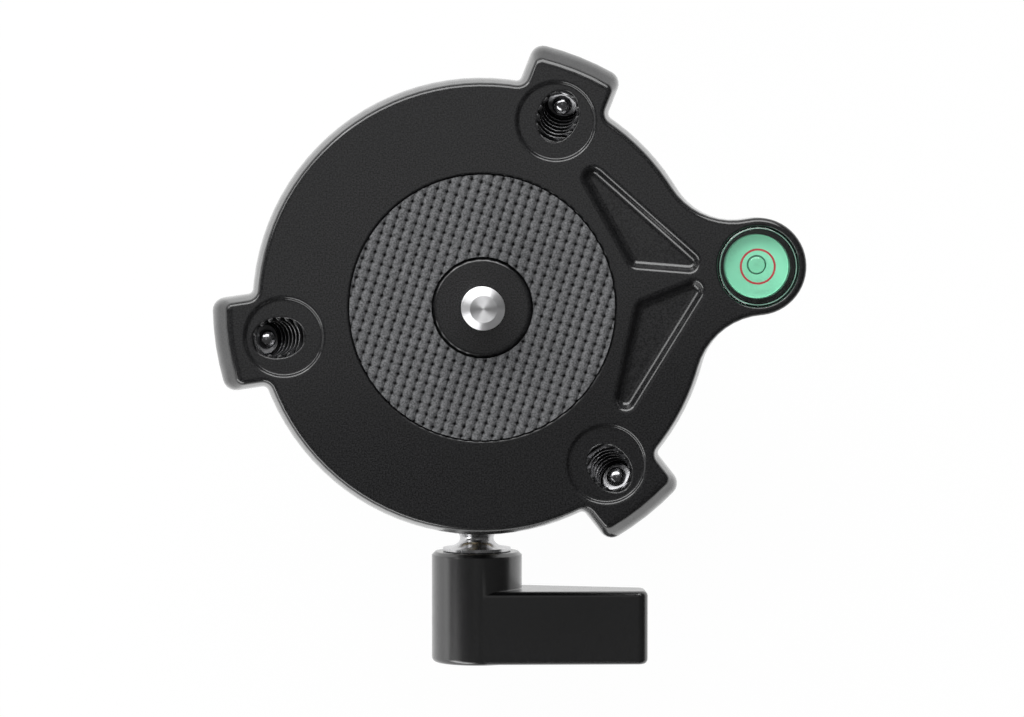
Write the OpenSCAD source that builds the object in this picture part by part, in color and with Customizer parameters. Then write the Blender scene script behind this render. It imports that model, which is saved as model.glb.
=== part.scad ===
// Leveling head: a clamped ball carries a round platform with a stud, a grip pad and a round level.
// Millimetres, +Z up. The origin is the centre of the foot's underside, on the socket's axis.
// The lever lies toward -Y and its arm points to +X.

/* [Foot and housing] */
// Diameter of the foot
foot_d = 60; // [56:1:66]
// Height of the foot's rim
foot_h = 3.5; // [2.5:0.5:4.5]
// Depth of the hollow under the foot
foot_hollow = 2.5; // [1:0.5:3]
// Wall of the collar and of the housing above its flank
collar_wall = 3.5; // [3:0.1:5]
// Height of the lever's axis above the foot
lever_z = 18; // [17:0.5:20]
// Diameter of the side boss that holds the clamp screw
boss_d = 20; // [18:0.5:21]
// Distance from the centre to the end of the side boss
boss_reach = 50; // [47:0.5:50.5]
// Bore of the 3/8 inch socket thread, at its major diameter
socket_d = 9.6; // [9.55:0.05:9.8]
// Outside diameter of the socket's steel bush
socket_bush_d = 15; // [13:0.5:17]
// Height of the socket's steel bush
socket_bush_h = 9.2; // [7:0.1:9.3]

/* [Ball joint] */
// Diameter of the ball
ball_d = 52; // [50:0.25:52.5]
// Height of the ball's centre above the foot
ball_z = 35; // [34.5:0.25:37]
// Depth of the ball's flat below its centre
ball_flat = 22; // [20:0.5:22.5]
// Room around the ball's neck in the collar's lip, for the tilt
neck_room = 4.3; // [4.2:0.1:6]
// Height of the neck's top above the ball's centre
neck_h = 20.5; // [20:0.25:22]
// Diameter of the hollow in the ball
ball_hollow_d = 20; // [12:1:24]
// Thickness of the friction bowl
bowl_t = 1.5; // [1.2:0.1:1.6]
// Height of the collar's top above the ball's centre
collar_h = 12.5; // [11.5:0.25:12.75]
// Thickness of the collar's lip
lip_t = 3.4; // [3:0.1:3.6]
// Clearance between the collar's lip and the ball
lip_gap = 0.25; // [0.2:0.05:0.6]
// Wall of the threaded spigot that the collar is screwed on
spigot_wall = 3.2; // [2.6:0.1:4]
// Number of spanner notches in the collar
notch_count = 6; // [3:1:12]

/* [Platform] */
// Turn of the platform on the ball, as photographed
platform_turn = 8.4; // [-60:0.1:60]
// Diameter of the disc at the top of its wall
disc_d = 100; // [98:0.5:102]
// Thickness of the platform over the ball's neck
web_t = 7.5; // [7:0.25:9]
// Depth of the platform's rim
rim_h = 10; // [9.5:0.25:11]
// Rounding of the platform's upper edge
edge_r = 1.2; // [0.8:0.1:1.4]
// How far the disc's wall swells out down to the rim's foot
wall_draft = 1.2; // [0.4:0.1:1.5]
// Reach of the lugs from the centre at the top of their wall
lug_reach = 57.2; // [56.5:0.1:58]
// How far the lugs' end wall swells out beyond the disc's
lug_lean = 1.7; // [1.4:0.1:2.2]
// Extra rounding of the lugs' upper end edge
lug_round = 0.7; // [0.3:0.1:1]
// Width of a lug at the top of its wall
lug_w = 18.6; // [18.2:0.1:19.6]
// Depth of a lug
lug_h = 16; // [15.5:0.25:17]
// Fillet between a lug and the disc
lug_fillet = 2.4; // [1.8:0.1:3.2]
// Rounding of a lug's upright corners
lug_corner = 1.8; // [1.2:0.1:2.6]
// Depth of the sunk pockets
pocket_h = 1.8; // [1:0.1:2.2]
// How far a pocket's wall slopes in
pocket_slope = 1.2; // [0.6:0.1:1.3]
// Diameter of the grip pad
pad_d = 59; // [57:0.25:59.5]
// Bore of the grip pad
pad_bore = 22.6; // [22.4:0.1:24]
// Depth of the pad's seat
pad_seat = 1.4; // [1:0.1:1.8]
// Height of the pad over the platform
pad_proud = 0.4; // [0.2:0.1:0.8]
// Diameter of the 3/8 inch stud
stud_d = 9.525; // [9.4:0.025:9.6]
// Height of the stud over the platform
stud_h = 10; // [8:0.25:12]
// Diameter of the stud's flat end
stud_end_d = 6; // [4.5:0.1:7]

/* [Set screws] */
// Distance of the screws' openings from the centre
screw_r = 45.6; // [45:0.1:46]
// Lean of the screws from upright
screw_lean = 40; // [39:0.5:42]
// Thread diameter of the set screws
screw_d = 9; // [8:0.5:10]
// Length of a set screw
screw_l = 8; // [6:0.25:8.5]
// Depth of a set screw's nose below the spot-face, as photographed
screw_depth = 2.4; // [2:0.1:3]
// Diameter of a set screw's nose
nose_d = 4.4; // [3.6:0.1:5]
// Height of a set screw's nose
nose_h = 2.2; // [1.8:0.1:2.4]
// Diameter of the spot-faces
spot_d = 17.8; // [16:0.1:18]
// Depth of the spot-faces
spot_h = 0.65; // [0.4:0.05:0.9]

/* [Round level] */
// Distance of the level from the centre
level_r = 62.1; // [61:0.1:63]
// Diameter of the level's body
level_d = 18.2; // [17:0.1:18.4]
// Height of the level's body
level_h = 8.4; // [7:0.1:8.6]
// Diameter of the fluid
fluid_d = 14.4; // [12:0.1:14.8]
// Diameter of the level's lug at the top of its wall
level_lug_d = 21.8; // [21.4:0.1:22.6]
// Blend between the level's lug and the disc
level_blend = 16; // [14:0.25:18]

/* [Lever] */
// Distance from the centre to the inner end of the lever's hub
hub_start = 58.2; // [58:0.1:60]
// Length of the lever's hub
hub_l = 25.8; // [24:0.2:28]
// Diameter of the lever's hub
hub_d = 21; // [20:0.25:22]
// Reach of the lever's arm from its axis
arm_reach = 39.4; // [32:0.2:48]
// Width of the lever's arm along its axis
arm_w = 17.2; // [15:0.1:18]
// Height of the arm's tip
arm_tip_h = 11; // [9:0.25:13]
// Rounding of the lever's edges
lever_round = 1.2; // [0.6:0.1:1.6]
// Thread diameter of the clamp screw
clamp_d = 10; // [9:0.25:10.5]
// Waist diameter of the stem
waist_d = 7.8; // [6.6:0.1:8.4]
// Diameter of the stem's flange
flange_d = 15.8; // [14:0.1:16.4]
// Number of teeth between stem and lever
tooth_count = 18; // [12:1:24]
// How far the lever pulls out
pull = 4; // [3.6:0.1:4.2]
// Diameter of the brake shoe
shoe_d = 13; // [12:0.25:13.5]

/* [Hidden] */
$fn = 96;

// Clearances
run_gap = 0.05;  // radial, of a thread or a shaft in its bore
ball_gap = 0.15;  // between the ball and the plastic that bears on it
seat_gap = 0.1;  // between rings and their seats
fit_gap = 0.02;  // between pieces fixed to each other
eps = 0.01;  // overshoot of a cutter past the face that it cuts

// Ball joint
ball_r = ball_d / 2;
bowl_in = ball_r + ball_gap;
bowl_out = bowl_in + bowl_t;
socket_r = bowl_out + ball_gap;
collar_thread_d = 2 * (socket_r + spigot_wall);
body_d = collar_thread_d + 2 * collar_wall;
lip_d = 2 * (sqrt(pow(ball_r, 2) - pow(collar_h - lip_t, 2)) + lip_gap);
neck_r = lip_d / 2 - neck_room;
bowl_low = 43;  // angles of the bowl's edges from straight down
bowl_high = 77;
floor_z = socket_bush_h + seat_gap;
spigot_top = ball_z + 1;
spigot_h = 7;
collar_foot = spigot_top - spigot_h;
collar_top = ball_z + collar_h;
ring_r = socket_r + 0.8;
ring_low = 2;  // height of the slip ring's underside above the ball's centre
lip_z = collar_top - lip_t;
collar_bevel = 4;
notch_w = 6;
notch_depth = 2;
lock_screw_d = 4;
lock_tip = 0.7;  // how far the lock screw's tip reaches in the housing
lock_sink = 0.4;  // how far the lock screw's end lies below the collar's face
lock_screw_l = (body_d - collar_thread_d) / 2 - lock_sink + lock_tip;
lock_screw_turn = 60;  // turn of the collar's lock screw from +X

// Foot
foot_rim_w = 5.5;  // width of the ring that the foot stands on
foot_step = 1.2;  // height and width of the step between foot and flank
foot_step_w = 2;
band_h = 5;  // plain band between the flank and the collar

// Platform
under_z = ball_z + neck_h;
top_z = under_z + web_t;
neck_spigot_d = 18;
neck_spigot_h = 3;
disc_r = disc_d / 2;
lug_half = lug_w / 2;
lug_turns = [60, 180, 300];
arc_step = 4;  // angle between the points of the disc's arcs
level_lug_r = level_lug_d / 2;
swell_h = 8.5;  // depth at which the walls are upright
swell_steps = 4;
island_d = pad_bore - 0.4;
island_bevel = 0.6;
trim = 1;  // stock cut off the platform's top and the lugs' feet
pad_recess_d = pad_d + 0.5;
fixing_r = 16.2;  // pitch radius of the countersunk screws
fixing_d = 5;
fixing_head_d = 8.6;
fixing_l = 14;
stud_root_d = 9;
stud_root_l = 12;
groove_in = 40;
groove_out = 46.5;
groove_top = 5;  // depth of metal left over the groove
groove_over = 2;  // how far ribs and lugs reach past the groove's walls
rib_w = 2.4;
rib_step = 20;

// Set screws
bore_l = 14.5;  // length of a lug's threaded bore
spot_slope = 0.5;  // how far a spot-face's wall slopes in
front_bevel = 1.3;  // of a set screw's end around its nose
back_bevel = 0.8;
hex_w = 5;
hex_l = 3.5;
nose_pin_d = 3;
nose_pin_l = 2.5;

// Level
level_floor = 1.2;  // clear plastic over the fluid
plug_h = 2;

// Lever
arm_start = hub_start + hub_l - arm_w;
hub_end = hub_start + hub_l;
hub_r = hub_d / 2;
clamp_r = clamp_d / 2;
shoe_end = 36;
bush_start = shoe_end + 0.8;
clamp_bush_d = clamp_d + 4;
stem_d = 9.2;
flange_t = 0.7;
flange_y = hub_start - 0.2;
tooth_l = pull - 0.8;
tooth_r = 6.6;
tooth_h = 0.9;
tooth_gap = 0.15;
arm_sink = 0.06;  // how far the arm's top lies below the hub's
arm_inset = 0.15;  // how far the arm's outer face lies inside the hub's
arm_corner = 2.4;
guide_r = 5.2;
teeth_start = hub_start + 0.3;
teeth_end = teeth_start + tooth_l;
guide_end = teeth_end + 4.6;
tail_d = 5;
tail_l = 5;
shoulder_d = 6;
web_start = guide_end + 0.4;
web_end = web_start + 2.8;
spring_pocket_r = 6.5;
screw_head_d = 11;
screw_head_h = 3;
spring_shut = 5;  // length of the spring when the lever is pulled out
spring_l = pull + spring_shut;
head_start = web_end + spring_l;
spring_wire = 1;
spring_r = 4.6;
spring_turns = 4;

black = [0.16, 0.16, 0.17];
dark_steel = [0.3, 0.3, 0.31];
bright_steel = [0.8, 0.8, 0.82];
acetal = [0.9, 0.89, 0.85];
brass = [0.78, 0.62, 0.3];

// Shared shapes

// A cylinder along the lever's axis, from a to b away from the centre.
module axle(a, b, r) {
  translate([0, -a, lever_z]) rotate([90, 0, 0]) cylinder(h = b - a, r = r);
}

// A cone frustum along the lever's axis.
module axle_cone(a, b, ra, rb) {
  translate([0, -a, lever_z]) rotate([90, 0, 0]) cylinder(h = b - a, r1 = ra, r2 = rb);
}

// The ball's centre.
module at_ball() {
  translate([0, 0, ball_z]) children();
}

// The platform's own frame: u points to the level.
module on_platform() {
  rotate(platform_turn) children();
}

// The frame of one set screw: its z axis runs down the bore from the spot-face.
module on_screw(turn) {
  on_platform() rotate(turn) translate([screw_r, 0, top_z - spot_h])
    rotate([0, 180 - screw_lean, 0]) children();
}

// Points of an arc, with n steps.
function arc(centre, r, from, to, n) = [
  for (i = [0:n]) let (a = from + (to - from) * i / n) centre + r * [cos(a), sin(a)]
];

function turned(points, a) = [
  for (p = points) [p[0] * cos(a) - p[1] * sin(a), p[0] * sin(a) + p[1] * cos(a)]
];

// Angle of a point seen from another one.
function bearing(from, to) = atan2(to[1] - from[1], to[0] - from[0]);

// A solid through rings of equally many points, each ring [height, points].
module loft(rings) {
  count = len(rings[0][1]);
  last = len(rings) - 1;
  points = [for (ring = rings) for (p = ring[1]) [p[0], p[1], ring[0]]];
  sides = [
    for (k = [0:last - 1]) for (i = [0:count - 1]) let (
      a = k * count + i,
      b = k * count + (i + 1) % count
    ) each [[a, a + count, b], [b, a + count, b + count]]
  ];
  bottom = [[for (i = [0:count - 1]) i]];
  top = [[for (i = [0:count - 1]) last * count + count - 1 - i]];
  polyhedron(points = points, faces = concat(sides, bottom, top), convexity = 8);
}

// Platform outline

// Half a lug's outline beside the u axis, from the disc out to the end, moved out by d.
function lug_side(d, lean) = let (
  r = disc_r + d,
  w = lug_half + d,
  f = lug_fillet - d,
  c = lug_corner + d,
  l = lug_reach + d + lean,
  root = [sqrt(pow(r + f, 2) - pow(w + f, 2)), w + f],
  corner = [sqrt(pow(l - c, 2) - pow(w - c, 2)), w - c]
) concat(
  arc(root, f, bearing(root, [0, 0]), -90, 5),
  arc(corner, c, 90, bearing([0, 0], corner), 5)
);

// A whole lug's outline, counter-clockwise.
function lug_line(d, lean) = let (side = lug_side(d, lean)) concat(
  [for (p = side) [p[0], -p[1]]],
  arc([0, 0], lug_reach + d + lean, -4, 4, 2),
  [for (i = [len(side) - 1:-1:0]) side[i]]
);

// Bearing at which a lug's fillet meets the disc.
function lug_edge(d) = let (r = disc_r + d, w = lug_half + d, f = lug_fillet - d)
  asin((w + f) / (r + f));

// Centre of the blend beside the level's lug, whose own wall is upright.
function blend_centre(d) = let (
  a = disc_r + level_blend,
  b = level_lug_r + level_blend - max(d, 0),
  x = (a * a + level_r * level_r - b * b) / (2 * level_r)
) [x, sqrt(a * a - x * x)];

// The level's lug with its two blends, counter-clockwise.
function level_line(d) = let (
  n = blend_centre(d),
  k = level_blend - d,
  home = bearing(n, [0, 0]),
  away = bearing(n, [level_r, 0]),
  blend = arc(n, k, home, away, 9),
  round_end = bearing([level_r, 0], n)
) concat(
  [for (p = blend) [p[0], -p[1]]],
  arc([level_r, 0], level_lug_r + min(d, 0), 2 - round_end, round_end - 2, 28),
  [for (i = [len(blend) - 1:-1:0]) blend[i]]
);

// The disc's arc between two bearings.
function disc_line(d, from, to, steps) = arc([0, 0], disc_r + d, from + 2, to - 2, steps);

// The platform's outline, moved out by d, with the lugs' ends leaning out further.
function platform_line(d, lean) = let (
  e = lug_edge(d),
  n = bearing([0, 0], blend_centre(d)),
  short = ceil((lug_turns[0] - lug_edge(0) - bearing([0, 0], blend_centre(0))) / arc_step),
  long = ceil((lug_turns[1] - lug_turns[0] - 2 * lug_edge(0)) / arc_step)
) concat(
  level_line(d),
  disc_line(d, n, lug_turns[0] - e, short),
  turned(lug_line(d, lean), lug_turns[0]),
  disc_line(d, lug_turns[0] + e, lug_turns[1] - e, long),
  turned(lug_line(d, lean), lug_turns[1]),
  disc_line(d, lug_turns[1] + e, lug_turns[2] - e, long),
  turned(lug_line(d, lean), lug_turns[2]),
  disc_line(d, lug_turns[2] + e, 360 - n, short)
);

// The platform's body with its rounded edge and swelling walls, down to the lugs' feet.
module platform_body() {
  edge = [
    for (a = [90:-22.5:0]) let (side = cos(a) - 1)
      [top_z - edge_r + edge_r * sin(a), platform_line(edge_r * side, lug_round * side)]
  ];
  wall = [
    for (i = [1:swell_steps]) let (t = i / swell_steps, swell = 1 - pow(1 - t, 2))
      [top_z - edge_r - (swell_h - edge_r) * t, platform_line(wall_draft * swell, lug_lean * swell)]
  ];
  difference() {
    loft([
      [top_z - lug_h - trim, platform_line(wall_draft, lug_lean)],
      for (i = [len(wall) - 1:-1:0]) wall[i],
      for (i = [len(edge) - 1:-1:0]) edge[i],
      [top_z + trim, platform_line(-edge_r, -lug_round)]
    ]);
    // Machined top and feet
    for (z = [top_z, top_z - lug_h - 2 * trim])
      translate([-2 * level_r, -2 * level_r, z]) cube([4 * level_r, 4 * level_r, 2 * trim]);
  }
}

// What the rim's underside leaves free below itself, apart from the lugs.
module below_rim() {
  difference() {
    translate([0, 0, top_z - lug_h - 1]) cylinder(h = lug_h - rim_h + 1, r = level_r + level_lug_d);
    for (turn = lug_turns) rotate(turn)
      translate([groove_in - groove_over, -lug_half - 1, top_z - lug_h - 2])
        cube([lug_reach, lug_w + 2, lug_h]);
  }
}

// Weight-saving groove under the rim, with ribs left between the lugs.
module rim_groove() {
  difference() {
    translate([0, 0, top_z - rim_h - 1]) difference() {
      cylinder(h = rim_h + 1 - groove_top, r = groove_out);
      translate([0, 0, -1]) cylinder(h = rim_h + 3, r = groove_in);
    }
    for (turn = [0:rib_step:340]) rotate(turn)
      translate([groove_in - groove_over, -rib_w / 2, top_z - rim_h - 2])
        cube([groove_out - groove_in + 2 * groove_over, rib_w, rim_h + 2]);
    for (turn = lug_turns) rotate(turn)
      translate([groove_in - groove_over, -lug_half - 1, top_z - lug_h])
        cube([groove_out - groove_in + 2 * groove_over, lug_w + 2, lug_h]);
  }
}

// Corner circles of a sunk pocket at the platform's face: place and radius.
pocket_corners = [[[28.6, 24.9], 2.4], [[47, 3.2], 2.3], [[35.8, 5.8], 2.3]];

// A sunk pocket with sloping walls.
module pocket() {
  hull() for (corner = pocket_corners) translate([corner[0][0], corner[0][1], top_z - pocket_h])
    cylinder(h = pocket_h + 0.2, r1 = max(corner[1] - pocket_slope, 0.1),
      r2 = corner[1] + pocket_slope * 0.2 / pocket_h, $fn = 32);
}

// Housing and base

module housing() {
  wall_z = collar_foot;
  flank_foot = foot_h + foot_step;
  flank_h = wall_z - foot_h - band_h;
  flank_w = (body_d - foot_d) / 2 + foot_step_w;
  color(black) difference() {
    union() {
      rotate_extrude() polygon([
        [0, 0],
        [foot_d / 2 - 0.6, 0],
        [foot_d / 2, 0.6],
        [foot_d / 2, foot_h],
        [foot_d / 2 - foot_step_w, flank_foot],
        for (a = [0:15:75])
          [foot_d / 2 - foot_step_w + flank_w * (1 - cos(a)), flank_foot + flank_h * sin(a)],
        [body_d / 2, wall_z - 3],
        [body_d / 2, wall_z - 0.8],
        [body_d / 2 - 0.8, wall_z],
        [collar_thread_d / 2, wall_z],
        [collar_thread_d / 2, spigot_top - 0.5],
        [collar_thread_d / 2 - 0.5, spigot_top],
        [0, spigot_top]
      ]);
      axle(socket_r - 2, boss_reach - 1, boss_d / 2);
      axle_cone(boss_reach - 1, boss_reach, boss_d / 2, boss_d / 2 - 1);
    }
    // Room for the ball and the bowl
    intersection() {
      at_ball() sphere(r = socket_r, $fn = 128);
      translate([0, 0, floor_z]) cylinder(h = ball_z - floor_z + eps, r = socket_r + 1);
    }
    at_ball() cylinder(h = 2, r = socket_r);
    // Socket bush
    translate([0, 0, -1]) cylinder(h = floor_z + 2, r = socket_bush_d / 2 + fit_gap);
    // Clamp bores
    axle(0, boss_reach + 1, shoe_d / 2 + run_gap);
    axle(bush_start, boss_reach + 1, clamp_bush_d / 2 + fit_gap);
    // Hollow under the foot, with ribs
    difference() {
      translate([0, 0, -1]) difference() {
        cylinder(h = foot_hollow + 1, r = foot_d / 2 - foot_rim_w);
        translate([0, 0, -1]) cylinder(h = foot_hollow + 3, r = socket_bush_d / 2 + 4);
      }
      for (turn = [30:60:330]) rotate(turn)
        translate([0, -1.5, -1]) cube([foot_d / 2, 3, foot_hollow + 2]);
    }
    // Seat of the collar's lock screw
    lock_screw_place() translate([0, 0, lock_screw_l - 2]) cylinder(h = 2.3, r = lock_screw_d / 2);
  }
}

module base_bush() {
  color(bright_steel) difference() {
    rotate_extrude() polygon([
      [socket_bush_d / 2 - 3.5, 0],
      [socket_bush_d / 2, 0],
      [socket_bush_d / 2, socket_bush_h],
      [socket_bush_d / 2 - 3.5, socket_bush_h]
    ]);
    translate([0, 0, -1]) cylinder(h = socket_bush_h + 2, r = socket_d / 2);
  }
}

module clamp_bush() {
  color(brass) difference() {
    axle(bush_start, boss_reach, clamp_bush_d / 2);
    axle(bush_start - 1, boss_reach + 1, clamp_r + run_gap);
  }
}

// The lock screw's frame: z points in to the axis from the collar's outside.
module lock_screw_place() {
  translate([0, 0, collar_foot + spigot_h / 2]) rotate(lock_screw_turn)
    translate([body_d / 2 - lock_sink, 0, 0]) rotate([0, -90, 0]) children();
}

module retaining_collar() {
  color(black) difference() {
    rotate_extrude() polygon([
      [collar_thread_d / 2 + run_gap, collar_foot + fit_gap],
      [body_d / 2 - 0.8, collar_foot + fit_gap],
      [body_d / 2, collar_foot + 0.8],
      [body_d / 2, collar_top - collar_bevel],
      [body_d / 2 - collar_bevel, collar_top],
      [lip_d / 2 + 0.4, collar_top],
      [lip_d / 2, collar_top - 0.4],
      [lip_d / 2, lip_z],
      [ring_r + seat_gap, lip_z],
      [ring_r + seat_gap, spigot_top + 0.3],
      [collar_thread_d / 2 + run_gap, spigot_top + 0.3]
    ]);
    for (i = [0:notch_count - 1]) rotate(i * 360 / notch_count)
      translate([body_d / 2 - notch_depth, -notch_w / 2, collar_foot + spigot_h + 1])
        cube([notch_depth + 1, notch_w, collar_h]);
    lock_screw_place() translate([0, 0, -1])
      cylinder(h = lock_screw_l + 2, r = lock_screw_d / 2 + fit_gap);
  }
}

module collar_lock_screw() {
  color(dark_steel) lock_screw_place() difference() {
    union() {
      cylinder(h = lock_screw_l - 1, r = lock_screw_d / 2);
      translate([0, 0, lock_screw_l - 1 - eps]) cylinder(h = 1, r1 = lock_screw_d / 2, r2 = 1);
    }
    translate([0, 0, -1]) cylinder(h = 3, r = 1.15, $fn = 6);
  }
}

// Ball joint

module slip_ring() {
  color(acetal) difference() {
    at_ball() translate([0, 0, ring_low])
      cylinder(h = lip_z - seat_gap - ball_z - ring_low, r = ring_r);
    at_ball() sphere(r = bowl_in, $fn = 128);
  }
}

module friction_bowl() {
  high = bowl_out * cos(bowl_high);
  low = bowl_out * cos(bowl_low);
  color(acetal) at_ball() difference() {
    intersection() {
      sphere(r = bowl_out, $fn = 128);
      translate([0, 0, -low]) cylinder(h = low - high, r = bowl_out + 1);
    }
    sphere(r = bowl_in, $fn = 128);
  }
}

module ball() {
  hollow_top = 4;
  color(dark_steel) difference() {
    at_ball() union() {
      intersection() {
        sphere(r = ball_r, $fn = 128);
        translate([0, 0, -ball_flat]) cylinder(h = ball_flat + neck_h, r = ball_r + 1);
      }
      cylinder(h = neck_h, r = neck_r);
      translate([0, 0, neck_h - 1])
        cylinder(h = neck_spigot_h + 1, r = neck_spigot_d / 2);
    }
    at_ball() translate([0, 0, -ball_flat - 1])
      cylinder(h = ball_flat + 1 + hollow_top, r = ball_hollow_d / 2);
    // Stud and fixing screws
    stud_bore(stud_root_d / 2 + fit_gap);
    fixing_places() translate([0, 0, -fixing_l - 1]) cylinder(h = fixing_l, r = fixing_d / 2 + fit_gap);
  }
}

// The bore that the stud's root is screwed in.
module stud_bore(r) {
  translate([0, 0, top_z - stud_root_l - 0.5]) cylinder(h = stud_root_l + stud_h, r = r);
}

// The fixing screws' frames, at the floor of the pad's seat.
module fixing_places() {
  on_platform() for (turn = [45:90:315]) rotate(turn)
    translate([fixing_r, 0, top_z - pad_seat]) children();
}

// Platform

module platform() {
  color(black) difference() {
    on_platform() difference() {
      platform_body();
      below_rim();
      rim_groove();
      // Room over the collar when the platform tilts
      translate([0, 0, under_z - rim_h]) cylinder(h = rim_h, r = groove_in - 3);
      for (side = [0, 1]) mirror([0, side, 0]) pocket();
      // Seat of the level
      translate([level_r, 0, top_z - level_h]) cylinder(h = level_h + 1, r = level_d / 2 + fit_gap);
    }
    // Seat of the pad around the centre island
    rotate_extrude() polygon([
      [island_d / 2, top_z - pad_seat],
      [pad_recess_d / 2, top_z - pad_seat],
      [pad_recess_d / 2, top_z + trim],
      [island_d / 2 - island_bevel, top_z + trim],
      [island_d / 2 - island_bevel, top_z],
      [island_d / 2, top_z - island_bevel]
    ]);
    // Spigot of the ball's neck
    translate([0, 0, under_z - 1])
      cylinder(h = neck_spigot_h + 1 + seat_gap, r = neck_spigot_d / 2 + fit_gap);
    stud_bore(stud_root_d / 2 + fit_gap);
    fixing_places() {
      translate([0, 0, -web_t]) cylinder(h = web_t + 1, r = fixing_d / 2 + seat_gap);
      translate([0, 0, -2.2 - eps])
        cylinder(h = 2.2 + 2 * eps, r1 = fixing_d / 2, r2 = fixing_head_d / 2 + seat_gap);
    }
    for (turn = lug_turns) {
      on_platform() rotate(turn) translate([screw_r - 1.1, 0, top_z - spot_h])
        cylinder(h = spot_h + eps, r1 = spot_d / 2 - spot_slope, r2 = spot_d / 2);
      on_screw(turn) {
        translate([0, 0, -screw_d]) cylinder(h = bore_l + screw_d + 1, r = screw_d / 2 + run_gap);
        // Flat at the bore's lower end
        translate([-lug_w, -lug_w, bore_l]) cube([2 * lug_w, 2 * lug_w, lug_h]);
      }
    }
  }
}

module platform_screws() {
  color(dark_steel) fixing_places() difference() {
    union() {
      translate([0, 0, -fixing_l]) cylinder(h = fixing_l - 1, r = fixing_d / 2);
      translate([0, 0, -2.2]) cylinder(h = 2.2, r1 = fixing_d / 2 - 0.1, r2 = fixing_head_d / 2);
    }
    translate([0, 0, -1.6]) cylinder(h = 3, r = 1.7, $fn = 6);
  }
}

module rubber_pad() {
  pad_top = top_z + pad_proud;
  pad_foot = top_z - pad_seat + fit_gap;
  color([0.36, 0.36, 0.37]) rotate_extrude() polygon([
    [pad_bore / 2, pad_foot],
    [pad_d / 2, pad_foot],
    [pad_d / 2, pad_top - 0.3],
    [pad_d / 2 - 0.3, pad_top],
    [pad_bore / 2 + 0.3, pad_top],
    [pad_bore / 2, pad_top - 0.3]
  ]);
}

module mounting_stud() {
  bevel = (stud_d - stud_end_d) / 2;
  color(bright_steel) rotate_extrude() polygon([
    [0, top_z - stud_root_l],
    [stud_root_d / 2 - 0.8, top_z - stud_root_l],
    [stud_root_d / 2, top_z - stud_root_l + 0.8],
    [stud_root_d / 2, top_z + fit_gap],
    [stud_d / 2, top_z + fit_gap],
    [stud_d / 2, top_z + stud_h - bevel],
    [stud_end_d / 2, top_z + stud_h],
    [0, top_z + stud_h]
  ]);
}

// Set screws

module set_screw(turn) {
  start = screw_depth + nose_h;
  color(dark_steel) on_screw(turn) difference() {
    translate([0, 0, start]) rotate_extrude() polygon([
      [0, 0],
      [screw_d / 2 - front_bevel, 0],
      [screw_d / 2, front_bevel],
      [screw_d / 2, screw_l - back_bevel],
      [screw_d / 2 - back_bevel, screw_l],
      [0, screw_l]
    ]);
    translate([0, 0, start + screw_l - hex_l])
      cylinder(h = hex_l + 1, r = hex_w / 2 / cos(30), $fn = 6);
    translate([0, 0, start - 1]) cylinder(h = nose_pin_l + 1 + seat_gap, r = nose_pin_d / 2 + run_gap);
  }
}

module set_screw_tip(turn) {
  dome_r = nose_d / 2;
  foot = screw_depth + nose_h - run_gap;
  color(bright_steel) on_screw(turn) union() {
    intersection() {
      translate([0, 0, screw_depth + dome_r]) sphere(r = dome_r);
      translate([0, 0, screw_depth - 1]) cylinder(h = foot - screw_depth + 1, r = nose_d);
    }
    translate([0, 0, foot - 0.3]) cylinder(h = nose_pin_l + 0.3, r = nose_pin_d / 2);
  }
}

module set_screw_1() { set_screw(lug_turns[0]); }
module set_screw_2() { set_screw(lug_turns[1]); }
module set_screw_3() { set_screw(lug_turns[2]); }
module set_screw_tip_1() { set_screw_tip(lug_turns[0]); }
module set_screw_tip_2() { set_screw_tip(lug_turns[1]); }
module set_screw_tip_3() { set_screw_tip(lug_turns[2]); }

// Round level

// The level's frame, at the floor of its seat.
module on_level() {
  on_platform() translate([level_r, 0, top_z - level_h]) children();
}

module level_vial() {
  color([0.8, 0.9, 0.85, 0.5]) on_level() difference() {
    rotate_extrude() polygon([
      [0, fit_gap],
      [level_d / 2, fit_gap],
      [level_d / 2, level_h - 0.5],
      [level_d / 2 - 0.5, level_h],
      [0, level_h]
    ]);
    translate([0, 0, -1]) cylinder(h = level_h + 1 - level_floor, r = fluid_d / 2);
  }
}

module level_fluid() {
  color([0.5, 0.81, 0.67]) on_level() translate([0, 0, plug_h])
    cylinder(h = level_h - level_floor - plug_h - fit_gap, r = fluid_d / 2 - fit_gap);
}

module level_plug() {
  color([0.9, 0.95, 0.9]) on_level() translate([0, 0, fit_gap])
    cylinder(h = plug_h - 2 * fit_gap, r = fluid_d / 2 - fit_gap);
}

// Lever and clamp

module brake_shoe() {
  color(brass) difference() {
    axle(socket_r / 3, shoe_end, shoe_d / 2);
    at_ball() sphere(r = socket_r, $fn = 128);
  }
}

// A ring of pointed teeth.
module teeth(r, depth, gap) {
  polygon([
    for (i = [0:2 * tooth_count - 1]) let (a = i * 180 / tooth_count, q = r + gap - (i % 2) * depth)
      [q * cos(a), q * sin(a)]
  ]);
}

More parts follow.
